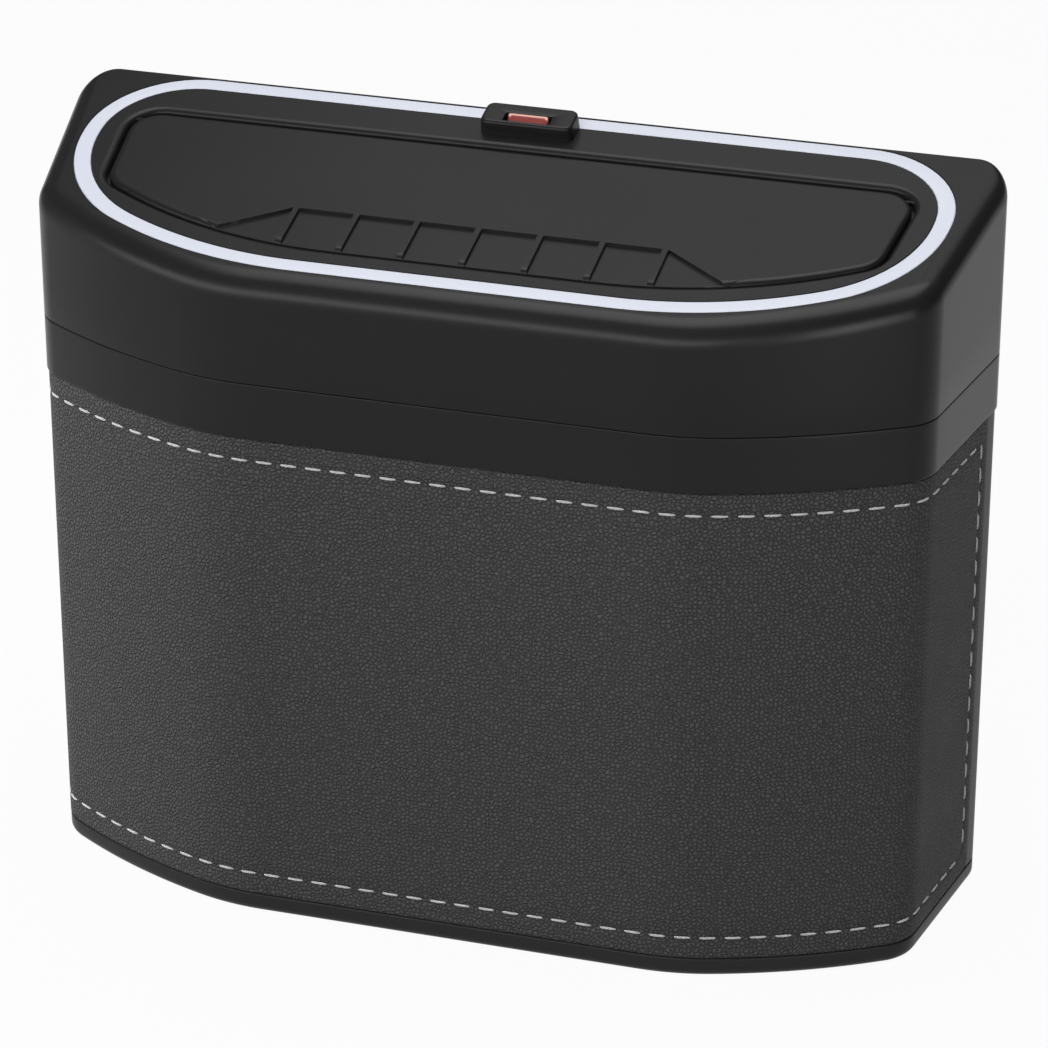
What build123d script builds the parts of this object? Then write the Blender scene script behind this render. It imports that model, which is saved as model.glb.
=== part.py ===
from build123d import *
import os
from math import cos, radians, sin, sqrt, tan

os.makedirs("parts", exist_ok=True)

# Car trash bin: a leatherette-wrapped tub under a sloping cover with a lid and a light ring.
# Millimetres and degrees. X to the right, Y from front to rear, Z up, standing on Z = 0.

# Body outline seen from above
body_width = 250.3
body_depth = 83.5  # front face to rear face
shoulder_radius = 64.0  # bend from the flat front into a flank
shoulder_angle = 17.7
flank_radius = 169.0  # slightly bowed flank
flank_angle = 15.8
corner_radius = 13.2  # upright edge between flank and side
corner_angle = 48.0
rear_radius = 9.0  # rear upright corners

# Heights
bead_height = 5.6  # foot bead below the leather
leather_height = 132.4
collar_height = 15.1  # plain band above the leather
seam_gap = 0.4  # seam under the lift-off cover
front_wall_height = 27.9  # cover wall at the front, seam to sloping top
top_tilt = 14.0  # the top rises to the rear

# Walls and fits
tub_wall = 2.4
floor_thickness = 2.4
leather_inset = 0.4  # leather lies just inside the collar's face
leather_thickness = 1.6
leather_fit = 0.2  # between leather and tub wall
collar_wall = 2.2
collar_fit = 0.15  # tub tongue inside the collar
cover_wall = 2.8
spigot_fit = 0.4  # cover spigot inside the collar
press_fit = 0.1  # parts set into a groove or a pocket
run_fit = 0.2  # parts that turn or slide
rest_fit = 0.3  # lid over its seat and over the latch
least_radius = 1.0  # smallest bend that an inset outline keeps

# Tub
bead_inset = 0.5
bead_bevel = 1.9
tongue_height = 6.0
leather_end = 13.9  # bare rear strip beside the leather, from the rear face
panel_radius = 5.0  # free corners of the leather panel

# Saddle stitch
stitch_pitch = 6.6
stitch_length = 4.8
thread_width = 1.0
thread_height = 0.5
thread_seat = 0.03
stitch_margin = 6.2  # row to the leather's edge, top and bottom
row_margin = 3.9  # upright row to the leather's rear edge

# Cover edges
edge_radius = 5.5  # soft edge along front and sides
edge_run = 22.0  # soft edge runs on behind the rear face, which cuts it off
rear_bevel = 0.8
seam_chamfer = 0.4
spigot_wall = 1.8
spigot_height = 6.0
spigot_root = 4.0  # length of the spigot that is joined to the wall

# Light ring let into the sloping top
ring_front = 6.35  # up the slope from the front edge
ring_rear_margin = 1.25  # to the rear edge of the top
ring_side_margin = 9.75  # to the body's side
ring_flank_radius = 111.4
ring_flank_angle = 27.0
ring_corner_radius = 42.8
ring_end_straight = 1.1  # short straight piece at each end of the ring
ring_width = 4.3
ring_sink = 0.1  # diffuser face just under the surface
lens_thickness = 0.8
lens_leg = 0.6
groove_depth = 2.0
strip_thickness = 0.3
chip_length = 2.2
chip_width = 1.4
chip_height = 0.5
chip_count = 24

# Lid
lid_front = 16.8  # up the slope from the front edge
lid_rear_margin = 18.5  # to the rear edge of the top
lid_side_margin = 20.9  # to the body's side
lid_flank_radius = 124.0
lid_flank_angle = 30.5
lid_corner_radius = 9.0
lid_side_angle = 84.0
lid_rear_radius = 8.0
lid_gap = 0.7
hinge_gap = 0.5  # extra gap behind the hinged edge
lip_bevel = 1.3  # eased edges of the lid and of its opening

# Grip pockets at the lid's front edge
pocket_depth = 0.9
pocket_length = 15.6  # up the slope
rib_pitch = 16.15
rib_width = 1.7
rib_count = 7
end_angle = 33.3  # slanting edge of the end pockets

# Hinge
pin_diameter = 1.2
pin_length = 22.0
pin_setback = 2.6  # pin line in front of the lid's rear edge
pin_drop = 1.3  # pin line under the top face
pin_grip = 2.0  # pin end in the cover, beyond the opening's edge
knuckle_radius = 1.25
knuckle_length = 13.0
knuckle_cap = 1.0  # closes the bore at the pin's inner end

# Inner frame
flange_reach = 4.0  # beyond the lid's edge
flange_thickness = 2.0
throat_inset = 8.0
throat_behind = 2.0  # throat reaches behind the lid's rear edge
chute_wall = 1.6
chute_depth = 9.0
corner_relief = 2.2  # flange cut short of the lid's side, for its swinging rear edge
relief_length = 3.0  # in front of the pin line

# Push latch
latch_width = 14.0
latch_length = 5.6
latch_height = 12.0
latch_setback = 3.4  # plunger line behind the lid's front edge
plunger_diameter = 3.0
plunger_length = 9.0
plunger_travel = 1.2
plate_diameter = 6.0
plate_thickness = 0.8

# Light module
module_width = 25.0
module_length = 9.6
module_rear_margin = 3.4  # to the rear edge of the top
module_height = 4.2
module_corner = 2.4
module_edge = 0.9
module_draft = 4.0
neck_width = 16.0
neck_length = 4.4
neck_setback = 1.0  # neck behind the module's front face
neck_depth = 4.4
recess_width = 12.6
recess_length = 3.6
recess_depth = 1.8
button_width = 10.6
button_length = 3.0
button_stem = 2.2
button_travel = 0.8
button_rise = 0.2  # bar stands just above the block

# Electronics on the rear wall
pocket_width = 78.0
pocket_height = 25.0
pocket_reach = 7.8  # from the rear wall forwards
pocket_wall = 1.2
board_width = 72.0
board_thickness = 1.2
board_height = 27.2
board_standoff = 1.8  # board to the rear wall
cell_width = 44.0
cell_height = 20.0
cell_thickness = 3.2
switch_width = 6.0
switch_height = 3.4
switch_reach = 4.0
switch_gap = 0.5  # nub to the stem of the pressed bar
nub_diameter = 2.2
nub_height = 0.6
socket_width = 9.0
socket_height = 3.2
socket_shell = 0.4
tongue_width = 5.0
tongue_thickness = 0.7

# Worked-out places
half_width = body_width / 2
stitch_stand = thread_height - leather_inset  # stitches stand out of the collar's face
front_y = -(body_depth - stitch_stand) / 2
rear_y = front_y + body_depth
leather_top = bead_height + leather_height
collar_top = leather_top + collar_height
cover_base = collar_top + seam_gap
front_top = cover_base + front_wall_height
slope_rise = tan(radians(top_tilt))
slope_length = body_depth / cos(radians(top_tilt))
cover_height = front_wall_height + body_depth * slope_rise
wall_outer = leather_inset + leather_thickness + leather_fit
cavity_inset = wall_outer + tub_wall
tongue_outer = collar_wall + collar_fit
leather_rear = rear_y - leather_end
row_y = leather_rear - row_margin
ring_rear = slope_length - ring_rear_margin
flank_rise = ring_flank_radius * (1 - cos(radians(ring_flank_angle)))
corner_rise = ring_corner_radius * cos(radians(ring_flank_angle))
ring_rear_radius = ring_rear - ring_front - flank_rise - corner_rise - ring_end_straight
lid_rear = slope_length - lid_rear_margin
lid_thickness = cover_wall - rest_fit
flange_top = cover_wall
flange_bottom = flange_top + flange_thickness
pin_slope = lid_rear - pin_setback
latch_slope = lid_front + latch_setback
module_front = slope_length - module_rear_margin - module_length
neck_slope = module_front + neck_setback + neck_length / 2
strip_inset = lens_leg + press_fit

# Bends of the body outline, from the front to the side wall
body_bends = [
    (shoulder_radius, shoulder_angle),
    (flank_radius, flank_angle),
    (corner_radius, corner_angle),
]

# The sloping top: local X to the right, local Y up the slope, local Z out of the face
top_plane = Plane(
    origin=(0, front_y, front_top),
    x_dir=(1, 0, 0),
    z_dir=(0, -sin(radians(top_tilt)), cos(radians(top_tilt))),
)

# Electronics hang from the place where the bar's stem ends
stem_low = top_plane.from_local_coords((0, neck_slope, -neck_depth - rest_fit))
board_top = stem_low.Z - button_travel - switch_gap - nub_height
pocket_floor = board_top - board_height
pocket_base = pocket_floor - pocket_wall
rear_inner = rear_y - cover_wall
board_rear = rear_inner - board_standoff
board_front = board_rear - board_thickness
socket_z = pocket_base + pocket_height / 2
socket_length = board_standoff + cover_wall - run_fit


def half_flat(front, rear, reach, bends, rear_bend):
    """Half length of the flat front of a D-shaped outline whose widest point lies at reach.

    bends holds (radius, angle) pairs in order from the front to the side wall.
    """
    x = 0
    y = front
    heading = 0
    for radius, angle in bends:
        x += radius * (sin(radians(heading + angle)) - sin(radians(heading)))
        y += radius * (cos(radians(heading)) - cos(radians(heading + angle)))
        heading += angle
    setback = rear_bend * tan(radians(180 - heading) / 2)
    straight = (rear - y) / sin(radians(heading)) - setback
    x += straight * cos(radians(heading)) + rear_bend * (1 - sin(radians(heading)))
    return reach - x


def half_path(front, rear, reach, bends, rear_bend, inset, behind):
    """Right half of a D-shaped outline, from the front middle to the rear middle.

    Every radius shrinks by inset, so that the path runs parallel to the full one.
    behind moves the rear edge back and leaves the front as it is.
    """
    flat = half_flat(front, rear, reach, bends, rear_bend)
    heading = sum(angle for radius, angle in bends)
    turn = 180 - heading
    corner = max(rear_bend - inset, least_radius)
    with BuildLine() as path:
        edge = Line((0, front + inset), (flat, front + inset))
        for radius, angle in bends:
            edge = JernArc(edge @ 1, edge % 1, max(radius - inset, least_radius), angle)
        start = edge @ 1
        run = (rear + behind - inset - start.Y) / sin(radians(heading))
        setback = corner * tan(radians(turn / 2))
        side = Line(start, start + (edge % 1) * (run - setback))
        bend = JernArc(side @ 1, side % 1, corner, turn)
        Line(bend @ 1, (0, rear + behind - inset))
    return path.wire()


def closed(path):
    """Face inside a half path and its mirror image."""
    with BuildSketch() as sketch:
        with BuildLine():
            add(path)
            mirror(about=Plane.YZ)
        make_face()
    return sketch.sketch


def body_path(inset=0.0, behind=0.0):
    """Half outline of the body."""
    return half_path(front_y, rear_y, half_width, body_bends, rear_radius, inset, behind)


def body_outline(inset=0.0, behind=0.0):
    return closed(body_path(inset, behind))


def ring_path(inset=0.0):
    """Half outline of the light ring's outer edge, on the sloping top."""
    bends = [
        (ring_flank_radius, ring_flank_angle),
        (ring_corner_radius, 90 - ring_flank_angle),
    ]
    reach = half_width - ring_side_margin
    return half_path(ring_front, ring_rear, reach, bends, ring_rear_radius, inset, 0)


def ring_band(outer, inner):
    """Band between two insets of the light ring's outer edge."""
    with BuildSketch() as band:
        add(closed(ring_path(outer)))
        add(closed(ring_path(inner)), mode=Mode.SUBTRACT)
    return band.sketch


def lid_outline(inset=0.0, behind=0.0):
    """Outline of the lid on the sloping top."""
    bends = [
        (lid_flank_radius, lid_flank_angle),
        (lid_corner_radius, lid_side_angle - lid_flank_angle),
    ]
    reach = half_width - lid_side_margin
    return closed(half_path(lid_front, lid_rear, reach, bends, lid_rear_radius, inset, behind))


def cross_plane(x):
    """Upright plane across the lid: local X up the slope, local Y out of the top."""
    origin = top_plane.from_local_coords((x, 0, 0))
    return Plane(origin=origin, x_dir=top_plane.y_dir, z_dir=(1, 0, 0))


def row_reach():
    """Length of the body outline from the front middle to the upright stitch row."""
    along = half_flat(front_y, rear_y, half_width, body_bends, rear_radius)
    y = front_y
    heading = 0
    for radius, angle in body_bends:
        along += (radius - leather_inset) * radians(angle)
        y += radius * (cos(radians(heading)) - cos(radians(heading + angle)))
        heading += angle
    return along + (row_y - y) / sin(radians(heading))


def stitch_planes():
    """One plane on the leather's face for each stitch, X along the thread."""
    path = body_path(leather_inset)
    reach = row_reach()
    low = bead_height + stitch_margin
    high = leather_top - stitch_margin
    count = round(reach / stitch_pitch)
    rows = round((high - low) / stitch_pitch)
    planes = []
    for step in range(-count, count):
        along = (step + 0.5) * reach / count
        spot = path.position_at(abs(along), position_mode=PositionMode.LENGTH)
        run = path.tangent_at(abs(along), position_mode=PositionMode.LENGTH)
        hand = 1 if along > 0 else -1
        run = Vector(run.X, hand * run.Y, 0)
        for height in (low, high):
            origin = Vector(hand * spot.X, spot.Y, height)
            planes.append(Plane(origin=origin, x_dir=run, z_dir=run.cross(Vector(0, 0, 1))))
    spot = path.position_at(reach, position_mode=PositionMode.LENGTH)
    run = path.tangent_at(reach, position_mode=PositionMode.LENGTH)
    for hand in (-1, 1):
        out = Vector(hand * run.Y, -run.X, 0)
        for step in range(rows):
            height = low + (step + 0.5) * (high - low) / rows
            origin = Vector(hand * spot.X, spot.Y, height)
            planes.append(Plane(origin=origin, x_dir=(0, 0, 1), z_dir=out))
    return [plane.offset(thread_seat) for plane in planes]


lid_half = half_width - lid_side_margin
pin_rise = lid_rear_radius - pin_setback  # pin line above the middle of the lid's rear bend
lid_edge = lid_half - lid_rear_radius + sqrt(lid_rear_radius**2 - pin_rise**2)
pin_outer = lid_edge + lid_gap + pin_grip
pin_inner = pin_outer - pin_length
pin_planes = [cross_plane(-pin_outer), cross_plane(pin_inner)]
bore_planes = [cross_plane(-pin_outer), cross_plane(pin_inner - run_fit)]
knuckle_inner = pin_inner - knuckle_cap
knuckle_planes = [cross_plane(-knuckle_inner - knuckle_length), cross_plane(knuckle_inner)]


# Tub with foot bead, wall behind the leather, rear wall and the tongue for the collar
with BuildPart() as bucket:
    with BuildSketch():
        add(body_outline(bead_inset))
    extrude(amount=bead_height)
    chamfer(bucket.edges().group_by(Axis.Z)[0], bead_bevel)
    with BuildSketch(Plane.XY.offset(bead_height)):
        add(body_outline(wall_outer))
    extrude(amount=leather_height)
    with BuildSketch(Plane.XY.offset(bead_height)):
        add(body_outline(bead_inset))
        with Locations((0, leather_rear + leather_fit)):
            Rectangle(
                body_width,
                body_depth,
                align=(Align.CENTER, Align.MIN),
                mode=Mode.INTERSECT,
            )
    extrude(amount=leather_height)
    with BuildSketch(Plane.XY.offset(leather_top)):
        add(body_outline(tongue_outer))
    extrude(amount=tongue_height)
    with BuildSketch(Plane.XY.offset(floor_thickness)):
        add(body_outline(cavity_inset))
    extrude(amount=leather_top + tongue_height, mode=Mode.SUBTRACT)
bucket.part.label = "bucket"
export_step(bucket.part, "parts/bucket.step")

# Leatherette panel with rounded free corners
with BuildPart() as leather_wrap:
    with BuildSketch(Plane.XY.offset(bead_height)):
        add(body_outline(leather_inset))
        add(body_outline(leather_inset + leather_thickness), mode=Mode.SUBTRACT)
        with Locations((0, leather_rear)):
            Rectangle(
                body_width,
                body_depth,
                align=(Align.CENTER, Align.MIN),
                mode=Mode.SUBTRACT,
            )
    extrude(amount=leather_height)
    ends = leather_wrap.faces().filter_by(Axis.Y).sort_by(Axis.Y)[-2:]
    fillet(ends.edges().filter_by(Axis.X), panel_radius)
leather_wrap.part.label = "leather_wrap"
export_step(leather_wrap.part, "parts/leather_wrap.step")

# Saddle stitches, each a short length of thread on the leather
with BuildPart() as stitching:
    with BuildSketch(*stitch_planes()):
        Rectangle(stitch_length, thread_width)
    extrude(amount=thread_height - thread_seat)
stitching.part.label = "stitching"
export_step(stitching.part, "parts/stitching.step")

# Plain band that closes the leather's top edge and carries the cover
with BuildPart() as rim_collar:
    with BuildSketch(Plane.XY.offset(leather_top)):
        add(body_outline())
        add(body_outline(collar_wall), mode=Mode.SUBTRACT)
    extrude(amount=collar_height)
    top_edges = rim_collar.faces().sort_by(Axis.Z)[-1].outer_wire().edges()
    chamfer(top_edges, seam_chamfer)
rim_collar.part.label = "rim_collar"
export_step(rim_collar.part, "parts/rim_collar.step")

# Rear form of the cover, with the small edge that its rear corners keep
with BuildPart() as rear_form:
    with BuildSketch(Plane.XY.offset(cover_base)):
        add(body_outline())
    extrude(amount=cover_height)
    split(bisect_by=top_plane, keep=Keep.BOTTOM)
    chamfer(rear_form.faces().filter_by(top_plane).edges(), rear_bevel)

# Room inside the cover
with BuildPart() as cover_room:
    with BuildSketch(Plane.XY.offset(cover_base)):
        add(body_outline(cover_wall))
    extrude(amount=cover_height)
    split(bisect_by=top_plane.offset(-cover_wall), keep=Keep.BOTTOM)

# Cover: soft edge along front and sides that runs out at the rear corners
with BuildPart() as top_cover:
    with BuildSketch(Plane.XY.offset(cover_base)):
        add(body_outline(behind=edge_run))
    extrude(amount=cover_height + edge_run)
    split(bisect_by=top_plane, keep=Keep.BOTTOM)
    fillet(top_cover.faces().filter_by(top_plane).edges(), edge_radius)
    add(rear_form.part, mode=Mode.INTERSECT)
    add(cover_room.part, mode=Mode.SUBTRACT)
    # lid opening with its eased edge
    with BuildSketch(top_plane):
        add(lid_outline(-lid_gap, hinge_gap))
    extrude(amount=-cover_wall, mode=Mode.SUBTRACT)
    rim = top_cover.faces().filter_by(top_plane).sort_by(Axis.Z)[-1].inner_wires()[0]
    chamfer(rim.edges(), lip_bevel)
    # groove for the light ring
    with BuildSketch(top_plane):
        add(ring_band(-press_fit, ring_width + press_fit))
    extrude(amount=-groove_depth, mode=Mode.SUBTRACT)
    # slot for the light module's neck
    with BuildSketch(top_plane):
        with Locations((0, neck_slope)):
            Rectangle(neck_width + 2 * press_fit, neck_length + 2 * press_fit)
    extrude(amount=-cover_wall, mode=Mode.SUBTRACT)
    # blind holes for the hinge pins, in the sides of the opening
    with BuildSketch(*pin_planes):
        with Locations((pin_slope, -pin_drop)):
            Circle(pin_diameter / 2 + press_fit)
    extrude(amount=pin_length, mode=Mode.SUBTRACT)
    # hole for the charge socket
    with BuildSketch(Plane.XZ.offset(-rear_y)):
        with Locations((0, socket_z)):
            Rectangle(socket_width + 2 * run_fit, socket_height + 2 * run_fit)
    extrude(amount=cover_wall, mode=Mode.SUBTRACT)
    # spigot that locates the cover inside the collar
    with BuildSketch(Plane.XY.offset(cover_base - spigot_height)):
        add(body_outline(collar_wall + spigot_fit))
        add(body_outline(collar_wall + spigot_fit + spigot_wall), mode=Mode.SUBTRACT)
    extrude(amount=spigot_height + spigot_root)
top_cover.part.label = "top_cover"
export_step(top_cover.part, "parts/top_cover.step")

# Frame under the cover: lid seat and chute
with BuildPart() as inner_frame:
    with BuildSketch(top_plane.offset(-flange_top)):
        add(lid_outline(-flange_reach, hinge_gap))
        add(lid_outline(throat_inset, throat_inset + throat_behind), mode=Mode.SUBTRACT)
        with Locations((0, pin_slope - relief_length)):
            Rectangle(
                2 * (lid_half - corner_relief),
                relief_length + pin_setback + throat_behind,
                align=(Align.CENTER, Align.MIN),
                mode=Mode.SUBTRACT,
            )
    extrude(amount=-flange_thickness)
    with BuildSketch(top_plane.offset(-flange_bottom)):
        add(lid_outline(throat_inset - chute_wall, throat_inset + throat_behind))
        add(lid_outline(throat_inset, throat_inset + throat_behind), mode=Mode.SUBTRACT)
    extrude(amount=-chute_depth)
    with BuildSketch(top_plane.offset(-flange_top)):
        with Locations((0, latch_slope)):
            Circle(plunger_diameter / 2 + run_fit)
    extrude(amount=-flange_thickness, mode=Mode.SUBTRACT)
inner_frame.part.label = "inner_frame"
export_step(inner_frame.part, "parts/inner_frame.step")

# Hinge pins through the lid's knuckles into the cover, at the lid's rear corners
with BuildPart() as hinge_pins:
    with BuildSketch(*pin_planes):
        with Locations((pin_slope, -pin_drop)):
            Circle(pin_diameter / 2)
    extrude(amount=pin_length)
hinge_pins.part.label = "hinge_pins"
export_step(hinge_pins.part, "parts/hinge_pins.step")

# Lid with an eased edge, grip pockets, knuckles and the seat of the latch plate
with BuildPart() as lid:
    with BuildSketch(top_plane):
        add(lid_outline())
    extrude(amount=-lid_thickness)
    chamfer(lid.faces().filter_by(top_plane).sort_by(Axis.Z)[-1].edges(), lip_bevel)
    with BuildSketch(top_plane):
        with Locations((0, lid_front)):
            with GridLocations(rib_pitch, rib_pitch, rib_count - 1, 1):
                Rectangle(rib_pitch - rib_width, 2 * pocket_length)
        end_x = (rib_count - 1) * rib_pitch / 2 + rib_width / 2
        end_run = 2 * pocket_length / tan(radians(end_angle))
        for hand in (-1, 1):
            Polygon(
                (hand * end_x, lid_front + pocket_length),
                (hand * end_x, lid_front - pocket_length),
                (hand * (end_x + end_run), lid_front - pocket_length),
                align=None,
            )
    extrude(amount=-pocket_depth, mode=Mode.SUBTRACT)
    with BuildSketch(*knuckle_planes):
        with Locations((pin_slope, -pin_drop)):
            Circle(knuckle_radius)
    extrude(amount=knuckle_length)
    with BuildSketch(*bore_planes):
        with Locations((pin_slope, -pin_drop)):
            Circle(pin_diameter / 2 + run_fit)
    extrude(amount=pin_length + run_fit, mode=Mode.SUBTRACT)
    with BuildSketch(top_plane.offset(-lid_thickness)):
        with Locations((0, latch_slope)):
            Circle(plate_diameter / 2 + press_fit)
    extrude(amount=plate_thickness, mode=Mode.SUBTRACT)
lid.part.label = "lid"
export_step(lid.part, "parts/lid.step")

# Steel disc under the lid
with BuildPart() as latch_plate:
    with BuildSketch(top_plane.offset(-lid_thickness)):
        with Locations((0, latch_slope)):
            Circle(plate_diameter / 2)
    extrude(amount=plate_thickness)
latch_plate.part.label = "latch_plate"
export_step(latch_plate.part, "parts/latch_plate.step")

# Push latch: closed housing with a sprung plunger
with BuildPart() as latch_housing:
    with BuildSketch(top_plane.offset(-flange_bottom)):
        with Locations((0, latch_slope)):
            Rectangle(latch_width, latch_length)
    extrude(amount=-latch_height)
    with BuildSketch(top_plane.offset(-flange_bottom)):
        with Locations((0, latch_slope)):
            Circle(plunger_diameter / 2 + run_fit)
    bore_depth = lid_thickness + rest_fit + plunger_length + plunger_travel + rest_fit
    extrude(amount=flange_bottom - bore_depth, mode=Mode.SUBTRACT)
latch_housing.part.label = "latch_housing"
export_step(latch_housing.part, "parts/latch_housing.step")

with BuildPart() as latch_plunger:
    with BuildSketch(top_plane.offset(-lid_thickness - rest_fit)):
        with Locations((0, latch_slope)):
            Circle(plunger_diameter / 2)
    extrude(amount=-plunger_length)
latch_plunger.part.label = "latch_plunger"
export_step(latch_plunger.part, "parts/latch_plunger.step")

# Light ring: a diffuser of upturned-U section over the strip
with BuildPart() as light_ring:
    with BuildSketch(top_plane.offset(-groove_depth)):
        add(ring_band(0, ring_width))
    extrude(amount=groove_depth - ring_sink)
    with BuildSketch(top_plane.offset(-groove_depth)):
        add(ring_band(lens_leg, ring_width - lens_leg))
    extrude(amount=groove_depth - ring_sink - lens_thickness, mode=Mode.SUBTRACT)
light_ring.part.label = "light_ring"
export_step(light_ring.part, "parts/light_ring.step")

with BuildPart() as led_strip:
    with BuildSketch(top_plane.offset(-groove_depth)):
        add(ring_band(strip_inset, ring_width - strip_inset))
    extrude(amount=strip_thickness)
led_strip.part.label = "led_strip"
export_step(led_strip.part, "parts/led_strip.step")


def chip_planes():
    """Planes on the strip for the lamps, evenly spaced along both halves of the ring."""
    path = ring_path(ring_width / 2)
    half_count = chip_count // 2
    drop = strip_thickness - groove_depth
    planes = []
    for step in range(half_count):
        share = (step + 0.5) / half_count
        spot = path.position_at(share)
        run = path.tangent_at(share)
        for hand in (-1, 1):
            origin = top_plane.from_local_coords((hand * spot.X, spot.Y, drop))
            along = top_plane.x_dir * (hand * run.X) + top_plane.y_dir * run.Y
            planes.append(Plane(origin=origin, x_dir=along, z_dir=top_plane.z_dir))
    return planes


with BuildPart() as led_chips:
    with BuildSketch(*chip_planes()):
        Rectangle(chip_length, chip_width)
    extrude(amount=chip_height)
led_chips.part.label = "led_chips"
export_step(led_chips.part, "parts/led_chips.step")

# Light module: block on the rear of the top, its neck through the cover, recess for the bar
with BuildPart() as light_module_case:
    with BuildSketch(top_plane):
        with Locations((0, module_front + module_length / 2)):
            RectangleRounded(module_width, module_length, module_corner)
    extrude(amount=module_height, taper=module_draft)
    chamfer(light_module_case.faces().filter_by(top_plane).sort_by(Axis.Z)[-1].edges(), module_edge)
    with BuildSketch(top_plane):
        with Locations((0, neck_slope)):
            Rectangle(neck_width, neck_length)
    extrude(amount=-neck_depth)
    with BuildSketch(top_plane.offset(module_height)):
        with Locations((0, neck_slope)):
            Rectangle(recess_width, recess_length)
    extrude(amount=-recess_depth, mode=Mode.SUBTRACT)
    with BuildSketch(top_plane.offset(module_height)):
        with Locations((0, neck_slope)):
            Rectangle(button_stem + 2 * run_fit, button_stem + 2 * run_fit)
    extrude(amount=-module_height - neck_depth, mode=Mode.SUBTRACT)
light_module_case.part.label = "light_module_case"
export_step(light_module_case.part, "parts/light_module_case.step")

# Red bar on a square stem
with BuildPart() as light_button:
    bar_top = module_height + button_rise
    bar_bottom = module_height - recess_depth + button_travel + press_fit
    with BuildSketch(top_plane.offset(bar_bottom)):
        with Locations((0, neck_slope)):
            Rectangle(button_width, button_length)
    extrude(amount=bar_top - bar_bottom)
    with BuildSketch(top_plane.offset(bar_bottom)):
        with Locations((0, neck_slope)):
            Rectangle(button_stem, button_stem)
    extrude(amount=-bar_bottom - neck_depth - rest_fit)
light_button.part.label = "light_button"
export_step(light_button.part, "parts/light_button.step")

# Pocket on the rear wall, open at the top
with BuildPart() as electronics_cover:
    with BuildSketch(Plane.XY.offset(pocket_base)):
        with Locations((0, rear_inner)):
            Rectangle(pocket_width, pocket_reach, align=(Align.CENTER, Align.MAX))
    extrude(amount=pocket_height)
    with BuildSketch(Plane.XY.offset(pocket_floor)):
        with Locations((0, rear_inner)):
            Rectangle(
                pocket_width - 2 * pocket_wall,
                pocket_reach - pocket_wall,
                align=(Align.CENTER, Align.MAX),
            )
    extrude(amount=pocket_height, mode=Mode.SUBTRACT)
electronics_cover.part.label = "electronics_cover"
export_step(electronics_cover.part, "parts/electronics_cover.step")

with BuildPart() as control_board:
    with BuildSketch(Plane.XY.offset(pocket_floor)):
        with Locations((0, board_front)):
            Rectangle(board_width, board_thickness, align=(Align.CENTER, Align.MIN))
    extrude(amount=board_height)
control_board.part.label = "control_board"
export_step(control_board.part, "parts/control_board.step")

with BuildPart() as battery_cell:
    with BuildSketch(Plane.XY.offset(pocket_floor)):
        with Locations((0, board_front - rest_fit)):
            Rectangle(cell_width, cell_thickness, align=(Align.CENTER, Align.MAX))
    extrude(amount=cell_height)
battery_cell.part.label = "battery_cell"
export_step(battery_cell.part, "parts/battery_cell.step")

# Switch under the bar's stem, on the front of the board
with BuildPart() as push_switch:
    with BuildSketch(Plane.XY.offset(board_top - switch_height)):
        with Locations((0, board_front)):
            Rectangle(switch_width, switch_reach, align=(Align.CENTER, Align.MAX))
    extrude(amount=switch_height)
    with BuildSketch(Plane.XY.offset(board_top)):
        with Locations((0, stem_low.Y)):
            Circle(nub_diameter / 2)
    extrude(amount=nub_height)
push_switch.part.label = "push_switch"
export_step(push_switch.part, "parts/push_switch.step")

# Charge socket on the back of the board, its mouth in the cover's rear wall
with BuildPart() as charge_socket:
    with BuildSketch(Plane.XZ.offset(-board_rear)):
        with Locations((0, socket_z)):
            Rectangle(socket_width, socket_height)
    extrude(amount=-socket_length)
    with BuildSketch(Plane.XZ.offset(-board_rear - socket_shell)):
        with Locations((0, socket_z)):
            inner_width = socket_width - 2 * socket_shell
            inner_height = socket_height - 2 * socket_shell
            Rectangle(inner_width, inner_height)
            Rectangle(tongue_width, tongue_thickness, mode=Mode.SUBTRACT)
    extrude(amount=-socket_length, mode=Mode.SUBTRACT)
charge_socket.part.label = "charge_socket"
export_step(charge_socket.part, "parts/charge_socket.step")
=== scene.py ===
# %% [markdown]
# # A car trash bin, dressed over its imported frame
# The bin is a D-shaped tub in pebbled leatherette under a satin plastic cover. A lid, a white
# light ring and a small red light switch sit in the sloping top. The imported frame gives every
# solid in its place. This lesson adds the skins that the eye meets first: soft edges, leather,
# thread, and a procedural finish for each material.

# %% Load the frame
from math import cos, radians, sin, tan

import bmesh
import bpy
import numpy as np
from mathutils import Matrix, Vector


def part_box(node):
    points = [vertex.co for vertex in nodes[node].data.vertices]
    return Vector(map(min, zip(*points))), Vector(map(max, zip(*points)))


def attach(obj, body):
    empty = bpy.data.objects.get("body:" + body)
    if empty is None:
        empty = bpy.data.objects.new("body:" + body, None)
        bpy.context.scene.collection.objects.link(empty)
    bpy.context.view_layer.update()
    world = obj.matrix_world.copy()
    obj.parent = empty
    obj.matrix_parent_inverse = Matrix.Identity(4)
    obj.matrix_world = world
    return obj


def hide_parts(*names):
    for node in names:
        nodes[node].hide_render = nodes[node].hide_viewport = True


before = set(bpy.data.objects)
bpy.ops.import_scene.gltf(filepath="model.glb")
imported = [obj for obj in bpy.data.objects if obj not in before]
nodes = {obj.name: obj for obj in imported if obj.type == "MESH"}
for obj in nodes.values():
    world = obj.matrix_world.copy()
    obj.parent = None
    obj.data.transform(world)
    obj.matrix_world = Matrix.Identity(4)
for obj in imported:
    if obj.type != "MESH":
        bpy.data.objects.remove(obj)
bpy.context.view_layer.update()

scene = bpy.context.scene

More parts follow.
